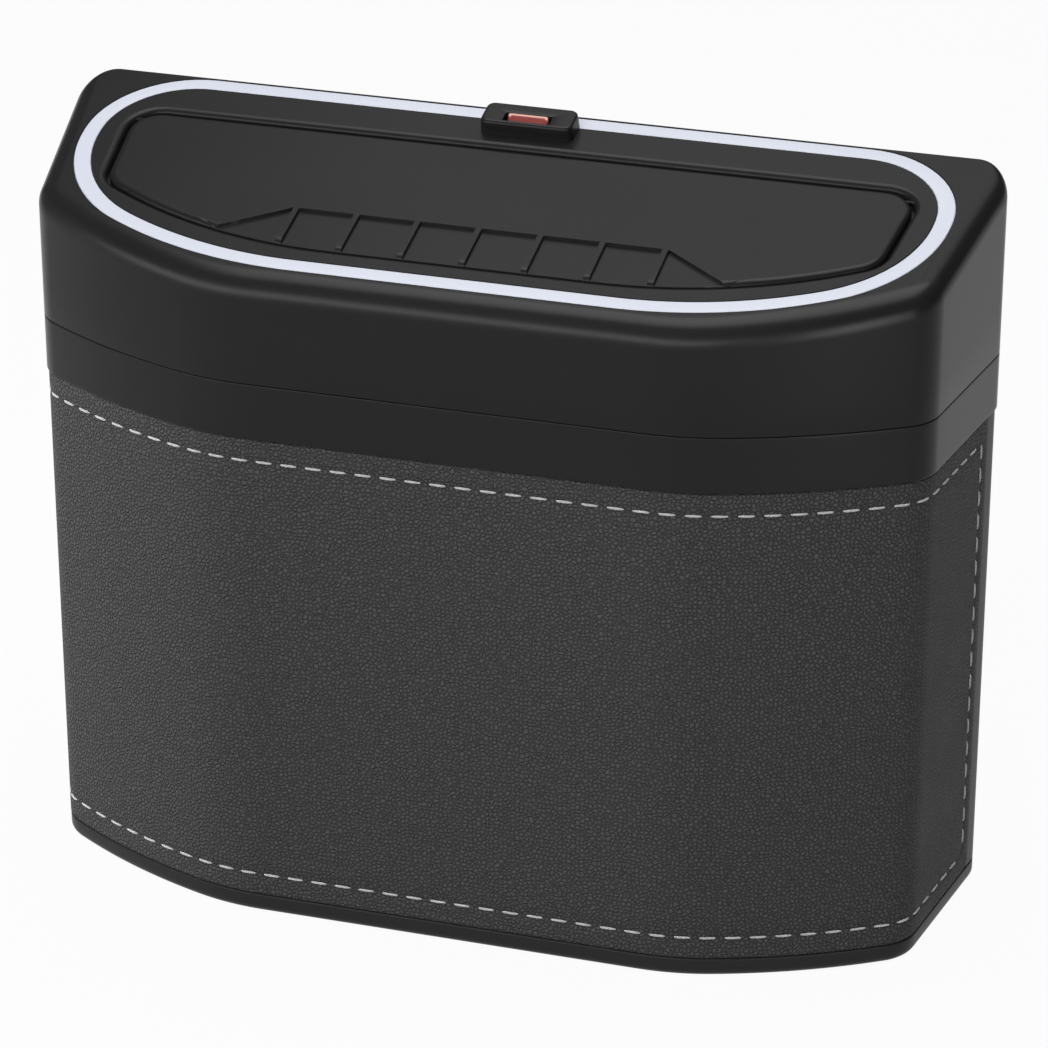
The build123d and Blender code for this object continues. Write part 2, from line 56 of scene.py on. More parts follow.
# %% [markdown]
# ## Sizes
# Heights and reaches are read from the boxes of the solids, in millimetres. Radii and angles
# can't be read from a box, so the few that shape the plan are written here once more.

# %% Sizes read from the frame
MM = 0.001


def box_mm(name):
    """Lowest and highest corner of a solid, in millimetres."""
    low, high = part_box(name)
    return np.array(low) / MM, np.array(high) / MM


collar_low, collar_high = box_mm("rim_collar")
leather_low, leather_high = box_mm("leather_wrap")
front_y, rear_y = collar_low[1], collar_high[1]
half_width, collar_top = collar_high[0], collar_high[2]
bead_height, leather_top = leather_low[2], leather_high[2]
seam_gap, front_wall = 0.4, 27.9  # seam under the cover, and height of the cover's wall in front
cover_base = collar_top + seam_gap
front_top = cover_base + front_wall
tilt = radians(14.0)
slope_length = (rear_y - front_y) / cos(tilt)
print("body", round(2 * half_width, 1), "by", round(rear_y - front_y, 1), "mm, top at", round(front_top, 1))

# %% [markdown]
# ## The D-shaped outline
# Body, light ring and lid share one kind of plan: a flat front, three bends, a straight side,
# a rear corner and a straight rear. A line drawn by hand could follow it, but a formula keeps
# all three parallel where they should be. Every outline is cut into the same number of columns,
# so a skin can run from one outline to the next.

# %% Half outline as columns
FLAT_STEPS, BEND_STEPS, CORNER_STEPS, REAR_STEPS = 10, (10, 14, 14), 14, 12
SIDE_BEFORE, SIDE_BEHIND = 6, 5  # columns of the side before its split, and from there on
just_behind = 1e-4  # share of the side by which the split column stands behind the split
socket_low, socket_high = box_mm("charge_socket")
socket_room = 0.2
hole_half = socket_high[0] + socket_room


def arc(place, radius, start, angle, count):
    """Points, headings and centre of an arc: point = centre + radius * (sin heading, -cos heading)."""
    turn = start + angle * np.arange(count) / count
    centre = place + radius * np.array((-sin(start), cos(start)))
    return centre + radius * np.stack((np.sin(turn), -np.cos(turn)), axis=1), turn, centre


def half_outline(front, rear, reach, bends, corner, behind=0.0, split=None, fine=1):
    """Points and headings of a D-shaped outline from the front middle to the rear middle.

    The flat is what remains of the reach after bends, side and corner. Each bend is an arc. The
    side runs at the last heading, the corner turns it to the rear, and the rear ends on the mirror
    line. behind moves the rear back. split is the y of one side column, which else stands half
    way. fine multiplies the columns of flat, bends and corner.
    """
    total = radians(sum(angle for radius, angle in bends))
    x, y, heading = 0.0, front, 0.0
    for radius, angle in bends:
        after = heading + radians(angle)
        x += radius * (sin(after) - sin(heading))
        y += radius * (cos(heading) - cos(after))
        heading = after
    setback = corner * tan((np.pi - total) / 2)
    straight = (rear - y) / sin(total) - setback
    flat = reach - x - straight * cos(total) - corner * (1 - sin(total))
    steps = np.arange(FLAT_STEPS * fine) / (FLAT_STEPS * fine)
    runs = [(np.stack((steps * flat, np.full_like(steps, front)), axis=1), np.zeros_like(steps))]
    place, heading = np.array((flat, front)), 0.0
    for (radius, angle), count in zip(bends, BEND_STEPS):
        bend, turn, centre = arc(place, radius, heading, radians(angle), count * fine)
        runs.append((bend, turn))
        heading += radians(angle)
        place = centre + radius * np.array((sin(heading), -cos(heading)))
    ahead = np.array((cos(total), sin(total)))
    run = (rear + behind - place[1]) / sin(total) - setback
    share = 0.5 if split is None else (split - place[1]) / sin(total) / run
    steps = np.concatenate((
        share * np.arange(SIDE_BEFORE) / SIDE_BEFORE,
        share + (1 - share) * np.arange(SIDE_BEHIND) / SIDE_BEHIND,
    ))
    steps[SIDE_BEFORE] += just_behind
    runs.append((place + run * steps[:, None] * ahead, np.full_like(steps, total)))
    bend, turn, centre = arc(place + run * ahead, corner, total, np.pi - total, CORNER_STEPS * fine)
    runs.append((bend, turn))
    rear_x = np.concatenate((np.linspace(centre[0], hole_half, REAR_STEPS), (hole_half / 2, 0.0)))
    rear_run = np.stack((rear_x, np.full_like(rear_x, rear + behind)), axis=1)
    runs.append((rear_run, np.full_like(rear_x, np.pi)))
    return tuple(np.concatenate(parts) for parts in zip(*runs))


# %% Outline of the body
def whole_loop(outline):
    """Closed loop and its outward normals: the right half, then its mirror image backwards."""
    points, headings = outline
    normals = np.stack((np.sin(headings), -np.cos(headings)), axis=1)
    flip = np.array((-1.0, 1.0))
    return tuple(np.concatenate((half, half[-2:0:-1] * flip)) for half in (points, normals))


body_bends = [(64.0, 17.7), (169.0, 15.8), (13.2, 48.0)]  # radius and angle of each
rear_corner = 9.0


def body_outline(fine=1):
    """Half outline of the body, with a side column where the leather ends."""
    return half_outline(
        front_y, rear_y, half_width, body_bends, rear_corner, split=leather_high[1], fine=fine
    )


body, body_out = whole_loop(body_outline())
columns = len(body)
print("body outline:", columns, "columns")

# %% [markdown]
# ## From a grid to a mesh
# Each skin is a grid of points: rows follow the section, columns follow the outline. One function
# turns any such grid into faces, and another makes the mesh, merges doubled points and points the
# faces outwards. Edges sharper than the given angle keep a crisp shade.

# %% Closed mesh
SAME_SPOT = 1e-7  # metres, below which two points are one


def closed_mesh(name, points, faces, crease=None, flat=None, thread_uv=None):
    """Mesh object of points in millimetres and faces.

    flat holds each point's place on the sheet before it was bent, kept for its finish. thread_uv
    holds each point's place along and round a thread.
    """
    mesh = bpy.data.meshes.new(name)
    mesh.from_pydata(points * MM, [], faces)
    if flat is not None:
        sheet = mesh.attributes.new("flat", "FLOAT_VECTOR", "POINT")
        sheet.data.foreach_set("vector", flat.ravel() * MM)
    if thread_uv is not None:
        corners = np.empty(len(mesh.loops), np.int32)
        mesh.loops.foreach_get("vertex_index", corners)
        layer = mesh.uv_layers.new(name="thread")
        layer.data.foreach_set("uv", thread_uv[corners].astype(np.float32).ravel())
    form = bmesh.new()
    form.from_mesh(mesh)
    bmesh.ops.remove_doubles(form, verts=form.verts, dist=SAME_SPOT)
    bmesh.ops.recalc_face_normals(form, faces=form.faces)
    form.to_mesh(mesh)
    form.free()
    mesh.shade_smooth()
    if crease is not None:
        mesh.set_sharp_from_angle(angle=radians(crease))
    made = bpy.data.objects.new(name, mesh)
    scene.collection.objects.link(made)
    print(name, len(mesh.vertices), "points,", len(mesh.polygons), "faces")
    return made


# %% Mesh from a grid
def skin(name, grid, around=True, across=True, left_out=None, bridges=(), crease=40.0, flat=None):
    """Mesh object of a (rows, columns, 3) grid in millimetres.

    around joins the last column to the first, across the last row to the first. An open end is
    closed by one face. left_out marks quads that aren't made. bridges are pairs of index loops.
    """
    rows, count = grid.shape[:2]
    index = np.arange(rows * count).reshape(rows, count)
    right, up = np.roll(index, -1, axis=1), np.roll(index, -1, axis=0)
    quads = np.stack((index, right, np.roll(right, -1, axis=0), up), axis=-1)
    keep = np.ones((rows, count), bool) if left_out is None else ~left_out
    keep[-1] &= across
    keep[:, -1] &= around
    faces = quads[keep].tolist()
    if not across:
        faces += [index[0][::-1].tolist(), index[-1].tolist()]
    if not around:
        faces += [index[:, 0].tolist(), index[::-1, -1].tolist()]
    for outer, inner in bridges:
        faces += np.stack((outer, np.roll(outer, -1), np.roll(inner, -1), inner), axis=1).tolist()
    return closed_mesh(name, grid.reshape(-1, 3), faces, crease, flat)


# %% Rows of a grid
def body_row(inset, height):
    """A row of a grid: the body outline drawn in by inset, at a height."""
    plan = body - np.broadcast_to(inset, columns)[:, None] * body_out
    return np.column_stack((plan, np.broadcast_to(height, columns)))


def on_slope(plan, depth=0.0):
    """Points of the sloping top: plan holds x and the way up the slope, depth goes into the face."""
    deep = np.broadcast_to(depth, len(plan))
    y = front_y + plan[:, 1] * cos(tilt) + deep * sin(tilt)
    z = front_top + plan[:, 1] * sin(tilt) - deep * cos(tilt)
    return np.stack((plan[:, 0], y, z), axis=1)


def top_height(y):
    """Height of the sloping top above a place in the plan."""
    return front_top + (y - front_y) * tan(tilt)


def smooth(share):
    """0 to 1 with level ends: 3 share^2 - 2 share^3."""
    share = np.clip(share, 0, 1)
    return share * share * (3 - 2 * share)


QUARTER = np.linspace(0, np.pi / 2, 7)  # turns of a rounded edge

# %% [markdown]
# ## Finishes
# Every finish below is procedural. Most read object coordinates in metres, so a pattern keeps its
# real size. One function turns sRGB hex values to linear colour, and one adds a node.

# %% Colour and node helpers
def linear(hex_code):
    """Linear RGBA of an sRGB hex value."""
    share = np.array([int(hex_code[i:i + 2], 16) for i in (1, 3, 5)]) / 255
    low, high = share / 12.92, ((share + 0.055) / 1.055) ** 2.4
    return (*np.where(share <= 0.04045, low, high).tolist(), 1.0)


def add(tree, kind, values=None, links=None, out=0, **settings):
    """Adds a shader node and returns one of its outputs.

    settings are its own choices, values fill sockets, and links feed sockets from other outputs.
    """
    made = tree.nodes.new("ShaderNode" + kind)
    for key, value in settings.items():
        setattr(made, key, value)
    for key, value in (values or {}).items():
        made.inputs[key].default_value = value
    for key, output in (links or {}).items():
        tree.links.new(output, made.inputs[key])
    return made.outputs[out]


def start_finish(name, **values):
    """New material with one shader, returned with its tree and shader. values fill the sockets."""
    material = bpy.data.materials.new(name)
    material.use_nodes = True
    shader = material.node_tree.nodes["Principled BSDF"]
    for key, value in values.items():
        shader.inputs[key.replace("_", " ")].default_value = value
    print("finish:", name)
    return material, material.node_tree, shader


def wire(shader, **outputs):
    """Joins outputs to the shader's sockets."""
    for key, output in outputs.items():
        shader.id_data.links.new(output, shader.inputs[key.replace("_", " ")])


def per_mm(size):
    """Pattern scale for a cell of that size in millimetres."""
    return 1 / (size * MM)


# %% [markdown]
# ### Satin moulded ABS
# Cover, collar and lid are moulded ABS from a spark-eroded mould. That gives a fine even tooth
# which spreads every reflection into a soft satin band and hides flow marks. One function makes
# such grained finishes: a noise gives roughness and relief, and a wider one may give the tone.

# %% Satin ABS
def grained(name, dark, light, grain, low, high, detail=3.0, relief=None, cloud=None, **values):
    """Two tones, a roughness range and a relief, mixed by noise with a grain in millimetres.

    relief is the strength of its bump and its height in millimetres. cloud is the size of a wider
    noise that mixes the tones instead.
    """
    material, tree, shader = start_finish(name, **values)
    place = add(tree, "TexCoord", out="Object")
    noise = wide = add(tree, "TexNoise", {"Scale": per_mm(grain), "Detail": detail}, {"Vector": place})
    if cloud:
        wide = add(tree, "TexNoise", {"Scale": per_mm(cloud), "Detail": 3.0}, {"Vector": place})
    tone = add(tree, "Mix", {6: linear(dark), 7: linear(light)}, {0: wide}, out=2, data_type="RGBA")
    rough = add(tree, "MapRange", {"To Min": low, "To Max": high}, {"Value": noise})
    wire(shader, Base_Color=tone, Roughness=rough)
    if relief:
        strength, rise = relief
        bump = add(tree, "Bump", {"Strength": strength, "Distance": rise * MM}, {"Height": noise})
        wire(shader, Normal=bump)
    return material


tooth_size = 0.5  # the real tooth is near 0.05 mm, drawn coarser so that it shows
satin_abs = grained(
    "abs_moulded_spark_eroded_satin", "#111112", "#161617", tooth_size, 0.28, 0.34, detail=2.0,
    relief=(0.12, 0.02), cloud=40.0, IOR=1.53, Specular_IOR_Level=0.13,
)

# %% [markdown]
# ### Matte moulded polypropylene
# The tub, the frame under the lid and the pocket are polypropylene, duller and softer than the
# cover, with a faint mottle from the moulding. One noise gives tone, roughness and relief together,
# because on the real part all three come from the same cooling marks.

# %% Matte polypropylene
mottle_size = 1.2
matte_pp = grained(
    "polypropylene_moulded_matte", "#161617", "#1c1c1d", mottle_size, 0.36, 0.44, detail=4.0,
    relief=(0.1, 0.03), IOR=1.49, Specular_IOR_Level=0.15,
)

# %% [markdown]
# ### Pebbled leatherette
# Polyurethane leatherette is embossed by a roller: low rounded pebbles a little over a
# millimetre across, parted by fine creases. Cells of a Voronoi pattern, bent by noise so that no
# two are alike, give the pebbles as relief, and paint their colour lighter on the tops and darker
# in the creases: a painted highlight and painted shade. The pattern reads each point's place on
# the flat sheet, so it runs round the body without stretching.

# %% Leatherette
leatherette, tree, shader = start_finish(
    "polyurethane_leatherette_embossed_pebble", IOR=1.5, Specular_IOR_Level=0.08
)
pebble_size, sway_size, patch_size = 1.15, 2.2, 14.0
sway_reach = 0.9 * MM  # how far the noise moves the edge of a cell at most
crease_share = 0.34  # distance from a crease, in cells, at which a pebble has its full height and its lightest painted tone
place = add(tree, "Attribute", out="Vector", attribute_name="flat")
sway = add(tree, "TexNoise", {"Scale": per_mm(sway_size), "Detail": 2.0}, {"Vector": place}, out="Color")
bent = add(tree, "Mix", {0: sway_reach}, {4: place, 5: sway}, out=1, data_type="VECTOR")
cells = add(tree, "TexVoronoi", {"Scale": per_mm(pebble_size), "Randomness": 0.9}, {"Vector": bent},
            feature="DISTANCE_TO_EDGE", voronoi_dimensions="2D")
pebble_rise_and_painted_shade = add(tree, "MapRange", {"From Max": crease_share}, {"Value": cells}, interpolation_type="SMOOTHSTEP")
patch = add(tree, "TexNoise", {"Scale": per_mm(patch_size), "Detail": 3.0}, {"Vector": place})
# Painted highlight and painted shade: the colour is lighter on the pebble tops and darker in the creases, as
# light and shade would fall.
tone = add(tree, "Mix", {6: linear("#2c2c2c"), 7: linear("#3e3e3e")}, {0: pebble_rise_and_painted_shade}, out=2, data_type="RGBA")
rough = add(tree, "MapRange", {"To Min": 0.5, "To Max": 0.62}, {"Value": patch})
bump = add(tree, "Bump", {"Strength": 1.0, "Distance": 0.3 * MM}, {"Height": pebble_rise_and_painted_shade})
wire(shader, Base_Color=tone, Roughness=rough, Normal=bump)

# %% [markdown]
# ### Bonded polyester thread
# The saddle stitch is a thick light grey thread of twisted strands. Each strand could be a tube of
# its own, but at this size a slanted wave, read from the thread's own UV map, shows the same twist,
# as relief and as colour that is darker in the grooves between strands: a painted shade.

# %% Thread
thread, tree, shader = start_finish("polyester_thread_bonded_twisted", Roughness=0.75, Sheen_Weight=0.2)
strand_scale = 1.6  # a band of the wave every 2 pi / (10 * scale), which is 0.39 mm along the thread
along = add(tree, "TexCoord", out="UV")
strand_rise_and_painted_shade = add(tree, "TexWave", {"Scale": strand_scale, "Distortion": 0.4}, {"Vector": along}, out="Fac",
              bands_direction="DIAGONAL")
# Painted shade: the thread is coloured darker where the wave is low, in the grooves between strands.
tone = add(tree, "Mix", {6: linear("#767675"), 7: linear("#a8a8a6")}, {0: strand_rise_and_painted_shade}, out=2, data_type="RGBA")
bump = add(tree, "Bump", {"Strength": 0.5, "Distance": 0.08 * MM}, {"Height": strand_rise_and_painted_shade})
wire(shader, Base_Color=tone, Normal=bump)

# %% [markdown]
# ### Opal diffuser
# The light ring is opal polycarbonate over a strip of lamps. It glows a cool white that is almost
# even. Lamps under a clear ring could light it, but a weak emission with a slow noise gives the
# same look with less grain.

# %% Diffuser
opal, tree, shader = start_finish(
    "polycarbonate_opal_diffuser", Base_Color=linear("#777a83"), Roughness=0.4, IOR=1.58,
    Emission_Strength=0.31,
)
glow_size = 24.0
place = add(tree, "TexCoord", out="Object")
glow = add(tree, "TexNoise", {"Scale": per_mm(glow_size), "Detail": 0.0}, {"Vector": place})
tone = add(tree, "Mix", {6: linear("#e6eaf8"), 7: linear("#f6f8ff")}, {0: glow}, out=2, data_type="RGBA")
wire(shader, Emission_Color=tone)

# %% [markdown]
# ### Red acrylic
# The switch bar is translucent red acrylic. Light that enters it scatters and leaves at the
# polished top, so the top looks pale and the slanted front a deep red. Two painted tones that meet
# at the crease between them show that more surely than deep scattering in so small a piece: the
# pale top is a painted highlight and the deep red front painted shade.

# %% Red acrylic
acrylic, tree, shader = start_finish(
    "acrylic_cast_red", Roughness=0.3, IOR=1.49, Specular_IOR_Level=0.12,
    Subsurface_Weight=0.1, Subsurface_Scale=0.3 * MM,
)
bar_crease, crease_blend = rear_y - 10.1, 0.15  # where the bar's flat top ends and its front begins
blend_from, blend_to = (bar_crease - crease_blend) * MM, (bar_crease + crease_blend) * MM
place = add(tree, "TexCoord", out="Object")
depth_y = add(tree, "SeparateXYZ", None, {0: place}, out="Y")
painted_lit_top = add(tree, "MapRange", {"From Min": blend_from, "From Max": blend_to}, {"Value": depth_y},
          interpolation_type="SMOOTHSTEP")
# Painted light: the top is coloured pale as lit and the front deep red as shaded.
tone = add(tree, "Mix", {6: linear("#682b27"), 7: linear("#a88076")}, {0: painted_lit_top}, out=2, data_type="RGBA")
wire(shader, Base_Color=tone)

# %% [markdown]
# ### Hidden parts
# Board, cell, switch, pins and plate show only when the cover is off or the lid is open, and the
# socket only from behind. They get simple grained finishes, each with the tones of its making.

# %% Small finishes
solder_mask = grained("glass_fibre_board_green_resist", "#0f4a2a", "#17603a", 2.0, 0.3, 0.45)
pouch_foil = grained("aluminium_pouch_foil", "#a4a5a8", "#bcbdc0", 4.0, 0.25, 0.45, Metallic=1.0)
acetal = grained("acetal_moulded_black", "#232324", "#2e2e30", 0.8, 0.3, 0.4)
nickel = grained("steel_nickel_plated", "#b5b5b2", "#c9c9c6", 0.6, 0.2, 0.35, Metallic=1.0)
dark_steel = grained("steel_pin_black_oxide", "#1c1c1e", "#26262a", 0.4, 0.35, 0.5, Metallic=1.0)
zinc_steel = grained("steel_zinc_plated", "#a2a6ab", "#b9bdc2", 1.5, 0.3, 0.5, Metallic=1.0)
white_film = grained("polyimide_film_white", "#cfcfca", "#dededa", 1.0, 0.4, 0.55)
lamp_resin = grained("silicone_lamp_resin", "#d8cf8a", "#e8e0a6", 0.8, 0.2, 0.3)

# %% [markdown]
# ### A finish for every solid
# Each solid gets its finish by name. The nine that a skin covers below get one too, so that none is
# left in a plain grey.

# %% Finish of each solid
solid_finish = {
    "bucket": matte_pp, "inner_frame": matte_pp, "electronics_cover": matte_pp,
    "latch_housing": matte_pp, "leather_wrap": leatherette, "stitching": thread,
    "rim_collar": satin_abs, "top_cover": satin_abs, "lid": satin_abs,
    "light_module_case": satin_abs, "light_ring": opal, "light_button": acrylic,
    "control_board": solder_mask, "battery_cell": pouch_foil, "push_switch": acetal,
    "latch_plunger": acetal, "charge_socket": nickel, "hinge_pins": dark_steel,
    "latch_plate": zinc_steel, "led_strip": white_film, "led_chips": lamp_resin,
}
for name, material in solid_finish.items():
    nodes[name].data.materials.clear()
    nodes[name].data.materials.append(material)
print("finishes set on", len(solid_finish), "solids")

# %% [markdown]
# ## The tub
# The tub is one moulding: a rounded foot bead, a wall that stands back where the leather lies on
# it, a bare rear wall, a tongue for the collar and a plain inside. It could be cut from a block,
# but a section carried round the body outline is shorter. The step beside the leather comes from
# an inset that changes from column to column.

# %% Tub
def place_piece(piece, body_name, slot_name, material, *replaced):
    """Gives a new piece its finish and its body, and hides the solids that it stands for. slot_name is not
    used.
    """
    piece.data.materials.append(material)
    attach(piece, body_name)
    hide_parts(*replaced)


def lower_round(inset, height, radius):
    """Rows of a rounded lower edge: a quarter circle from the underside up to the wall."""
    return [body_row(inset + radius * (1 - sin(a)), height + radius * (1 - cos(a))) for a in QUARTER]


def upper_round(inset, height, radius):
    """Rows of a rounded upper edge: a quarter circle from the wall up to the upper side."""
    return [body_row(inset + radius * (1 - cos(a)), height - radius * (1 - sin(a))) for a in QUARTER]


bead_inset, bead_radius = 0.5, 2.6
leather_inset, leather_thickness, leather_fit = 0.4, 1.6, 0.2
tub_wall, floor_thickness, tongue_inset = 2.4, 2.4, 2.35
lip = 0.5  # small eased edges of the moulding
tub_top = box_mm("bucket")[1][2]
behind_leather = body[:, 1] > leather_high[1]
backed_inset = leather_inset + leather_thickness + leather_fit
wall_inset = np.where(behind_leather, bead_inset, backed_inset)
cavity_inset = backed_inset + tub_wall
tub = skin("tub_skin", np.stack([
    *lower_round(bead_inset, 0.0, bead_radius),
    *upper_round(bead_inset, bead_height, lip),
    body_row(np.maximum(wall_inset, bead_inset + lip), bead_height),
    body_row(wall_inset, bead_height + np.where(behind_leather, lip, 0.0)),
    body_row(wall_inset, leather_top),
    body_row(tongue_inset, leather_top),
    body_row(tongue_inset, tub_top),
    body_row(cavity_inset, tub_top),
    body_row(cavity_inset, floor_thickness + lip),
    body_row(cavity_inset + lip, floor_thickness),
]), across=False)
place_piece(tub, "bin", "black_plastic", matte_pp, "bucket")

# %% [markdown]
# ## The leather panel
# The panel is thin leatherette, glued round front, flanks and sides. Along each stitch row the
# thread pulls it into a shallow channel, and its free edges are turned and softly rounded. A
# cloth simulation would be too loose for a sheet that is glued down, so the face is a grid of
# length along the body by height. It falls by the edge rounding and by a bell-shaped channel that
# follows the distance to the nearest stitch row.

# %% Places on the panel
fine_points, fine_headings = body_outline(fine=12)
fine_length = np.concatenate(([0.0], np.cumsum(np.hypot(*np.diff(fine_points, axis=0).T))))
before_rear = fine_headings < 3  # headings short of the rear's half turn
panel_reach = float(np.interp(leather_high[1], fine_points[before_rear, 1], fine_length[before_rear]))
row_margin, stitch_margin, row_corner = 3.9, 6.2, 3.0
row_reach = panel_reach - row_margin
row_low, row_high = bead_height + stitch_margin, leather_top - stitch_margin


def body_place(along):
    """x, y and outward normal of the body outline at a length from the front middle, + to the right."""
    hand = np.where(along < 0, -1.0, 1.0)
    heading = np.interp(np.abs(along), fine_length, fine_headings)
    x = np.interp(np.abs(along), fine_length, fine_points[:, 0]) * hand
    y = np.interp(np.abs(along), fine_length, fine_points[:, 1])
    return x, y, np.sin(heading) * hand, -np.cos(heading)


def row_distance(along, height):
    """Distance to the stitched line: a rectangle with rounded corners, measured on the face."""
    dx = np.abs(along) - row_reach + row_corner
    dz = np.abs(height - (row_low + row_high) / 2) - (row_high - row_low) / 2 + row_corner
    outside = np.hypot(np.maximum(dx, 0), np.maximum(dz, 0)) + np.minimum(np.maximum(dx, dz), 0)
    return np.abs(outside - row_corner)


print("panel reaches", round(panel_reach, 1), "mm each way from the front middle")

# %% Leather panel
panel_corner, panel_edge, channel, channel_width = 5.0, 0.8, 0.28, 1.1
# Distances from an edge of the panel, close together where the rounding and the channel bend it
near = np.array((0.0, 0.1, 0.3, 0.6, 1.0, 1.6, 2.4, 2.9, 3.4, 3.9, 4.4, 4.9, 5.6, 6.8, 8.5))
inner_span, span_count, inner_step, step_count = 11.0, 150, 10.5, 40
tall = leather_top - bead_height
beside_row = (stitch_margin - 0.3, stitch_margin + 0.5, tall - stitch_margin + 0.3)
spans = np.concatenate((
    near - panel_reach,
    np.linspace(inner_span - panel_reach, panel_reach - inner_span, span_count),
    panel_reach - near[::-1],
))
levels = np.sort(np.concatenate((
    near, np.linspace(inner_step, tall - inner_step, step_count), tall - near[::-1], beside_row,
)))
gap = panel_reach - np.abs(spans)
trim = np.maximum(panel_corner - gap, 0)
drop = panel_corner - np.sqrt(panel_corner**2 - trim**2)
along, rise = np.meshgrid(spans, levels / tall)
height = bead_height + drop + rise * (tall - 2 * drop)
free = np.minimum(np.minimum(height - bead_height, leather_top - height), gap)
cut = np.maximum(panel_edge - np.maximum(free, 0), 0)
edge_fall = panel_edge - np.sqrt(panel_edge**2 - cut**2)
pull = channel * np.exp(-(row_distance(along, height) / channel_width) ** 2)
x, y, nx, ny = body_place(along)
inset = leather_inset + edge_fall + pull
face = np.stack((x - inset * nx, y - inset * ny, height), axis=-1)
under = leather_inset + leather_thickness
rear_face = np.stack((x - under * nx, y - under * ny, height), axis=-1)[::-1]
unrolled = np.stack((along, height, np.zeros_like(along)), axis=-1)
leather = skin(
    "leather_panel", np.concatenate((face, rear_face)), around=False, crease=60,
    flat=np.concatenate((unrolled, unrolled[::-1])),
)
place_piece(leather, "bin", "leatherette", leatherette, "leather_wrap")

# %% [markdown]
# ## Saddle stitches
# Each stitch is a short length of thread that dives into a needle hole at both ends. A curve with
# a round bevel could stand for it, but its ends would be cut off. Here it is a tube of elliptic
# section whose width and height fall off to the ends. One small grid is worked out along a
# straight line, and all stitches are laid on the leather at once by adding a dimension to the
# arrays.

# %% Stitch places
pitch, row_end = 6.6, 1.2
top_phase, low_phase = 5.32, 4.39  # from the front middle to a stitch of the row
first_drop, last_rise = 2.4, 1.8  # from the level rows to the first and last upright stitch
count = int((row_reach - row_corner) // pitch) + 1
rows_along = []
for phase, z in ((top_phase, row_high), (low_phase, row_low)):
    lengths = phase + pitch * np.arange(-count - 1, count + 1)
    lengths = lengths[np.abs(lengths) < row_reach - row_end]
    rows_along.append(np.stack((lengths, np.full_like(lengths, z), np.zeros_like(lengths)), axis=1))
up_heights = np.arange(row_high - first_drop, row_low + last_rise, -pitch)
for hand in (-1, 1):
    reach_row = np.full_like(up_heights, hand * row_reach)
    rows_along.append(np.stack((reach_row, up_heights, np.ones_like(up_heights)), axis=1))
stitches = np.concatenate(rows_along)
print("stitches:", len(stitches), "of them upright on each side:", len(up_heights))

# %% Stitch tubes
stitch_length, stitch_width, stitch_height = 4.9, 0.68, 0.6
half_share, sink_share = 0.55, 0.45  # half height and sunk end, in parts of the height
thread_lift = 0.12  # middle of the thread above the floor of the channel
rings, sides = 9, 8
u = np.linspace(-1, 1, rings)[:, None]
v = np.linspace(0, 2 * np.pi, sides + 1)[None, :-1]
taper = np.sqrt(np.maximum(1 - np.abs(u) ** 3, 0.0))
along_u = u * stitch_length / 2
side_v = np.cos(v) * taper * stitch_width / 2
lift_v = (np.sin(v) * taper * half_share + sink_share * (taper - 1)) * stitch_height
upright = stitches[:, 2, None, None] > 0
run = stitches[:, 0, None, None] + np.where(upright, side_v, along_u)
z = stitches[:, 1, None, None] + np.where(upright, along_u, side_v)
x, y, nx, ny = body_place(run)
out = lift_v + thread_lift - leather_inset - channel
tubes = np.stack((x + out * nx, y + out * ny, z), axis=-1)
index = np.arange(tubes[..., 0].size).reshape(tubes.shape[:3])
turned_index = np.roll(index, -1, axis=2)
quads = np.stack((index[:, :-1], turned_index[:, :-1], turned_index[:, 1:], index[:, 1:]), axis=-1)
point = index.ravel()
thread_uv = np.stack((point // sides % rings / (rings - 1) * stitch_length, point % sides / sides), axis=1)
saddle_stitch = closed_mesh(
    "saddle_stitch", tubes.reshape(-1, 3), quads.reshape(-1, 4).tolist(), thread_uv=thread_uv
)
place_piece(saddle_stitch, "bin", "thread", thread, "stitching")

# %% [markdown]
# ## The collar
# A plain band closes the top edge of the leather. It stands a little proud of it, with eased
# edges, and the cover's spigot slides into it. Its section is carried round the body outline, as
# the tub's is, so that the band stays true to the tub.

# %% Collar
collar_wall, collar_edge = 2.2, 0.3
band_margin = 1.2  # rows that keep the shade of the band even
collar = skin("collar_skin", np.stack([
    *lower_round(0.0, leather_top, collar_edge),
    body_row(0.0, leather_top + band_margin),
    body_row(0.0, collar_top - band_margin),
    *upper_round(0.0, collar_top, collar_edge),
    body_row(collar_wall, collar_top),
    body_row(collar_wall, leather_top),
]))
place_piece(collar, "bin", "satin_plastic", satin_abs, "rim_collar")

# %% [markdown]
# ## The top cover
# The cover takes the most care. Its wall follows the body, its top slopes, and a soft edge joins
# them. A bevel could round that edge, but not with a radius that changes along the plan. So the
# edge is the path of a ball that rolls along wall and top at once: the ball's centre stands one
# radius inside both, and the skin turns about it from the wall's normal to the top's. The ball is
# largest at the front and shrinks to a small radius at the rear. The section then runs over the
# groove of the light ring, round the lip of the lid opening and back down the inside to the spigot.

# %% Outlines on the sloping top
ring_front, ring_margin, ring_side, ring_width, ring_corner = 6.35, 1.25, 9.75, 4.3, 27.08
ring_bends = [(111.4, 13.5), (111.4, 13.5), (42.8, 63.0)]
ring, ring_out = whole_loop(half_outline(
    ring_front, slope_length - ring_margin, half_width - ring_side, ring_bends, ring_corner
))
lid_front, lid_margin, lid_side, lid_corner = 16.8, 18.5, 20.9, 8.0
lid_bends = [(124.0, 15.25), (124.0, 15.25), (9.0, 53.5)]
lid_sizes = (lid_front, slope_length - lid_margin, half_width - lid_side, lid_bends, lid_corner)
lid_gap, hinge_gap = 0.7, 0.5
opening, opening_out = whole_loop(half_outline(*lid_sizes, behind=hinge_gap))
opening = opening + lid_gap * opening_out
print("ring", round(2 * ring[:, 0].max(), 1), "mm wide, lid opening", round(2 * opening[:, 0].max(), 1))

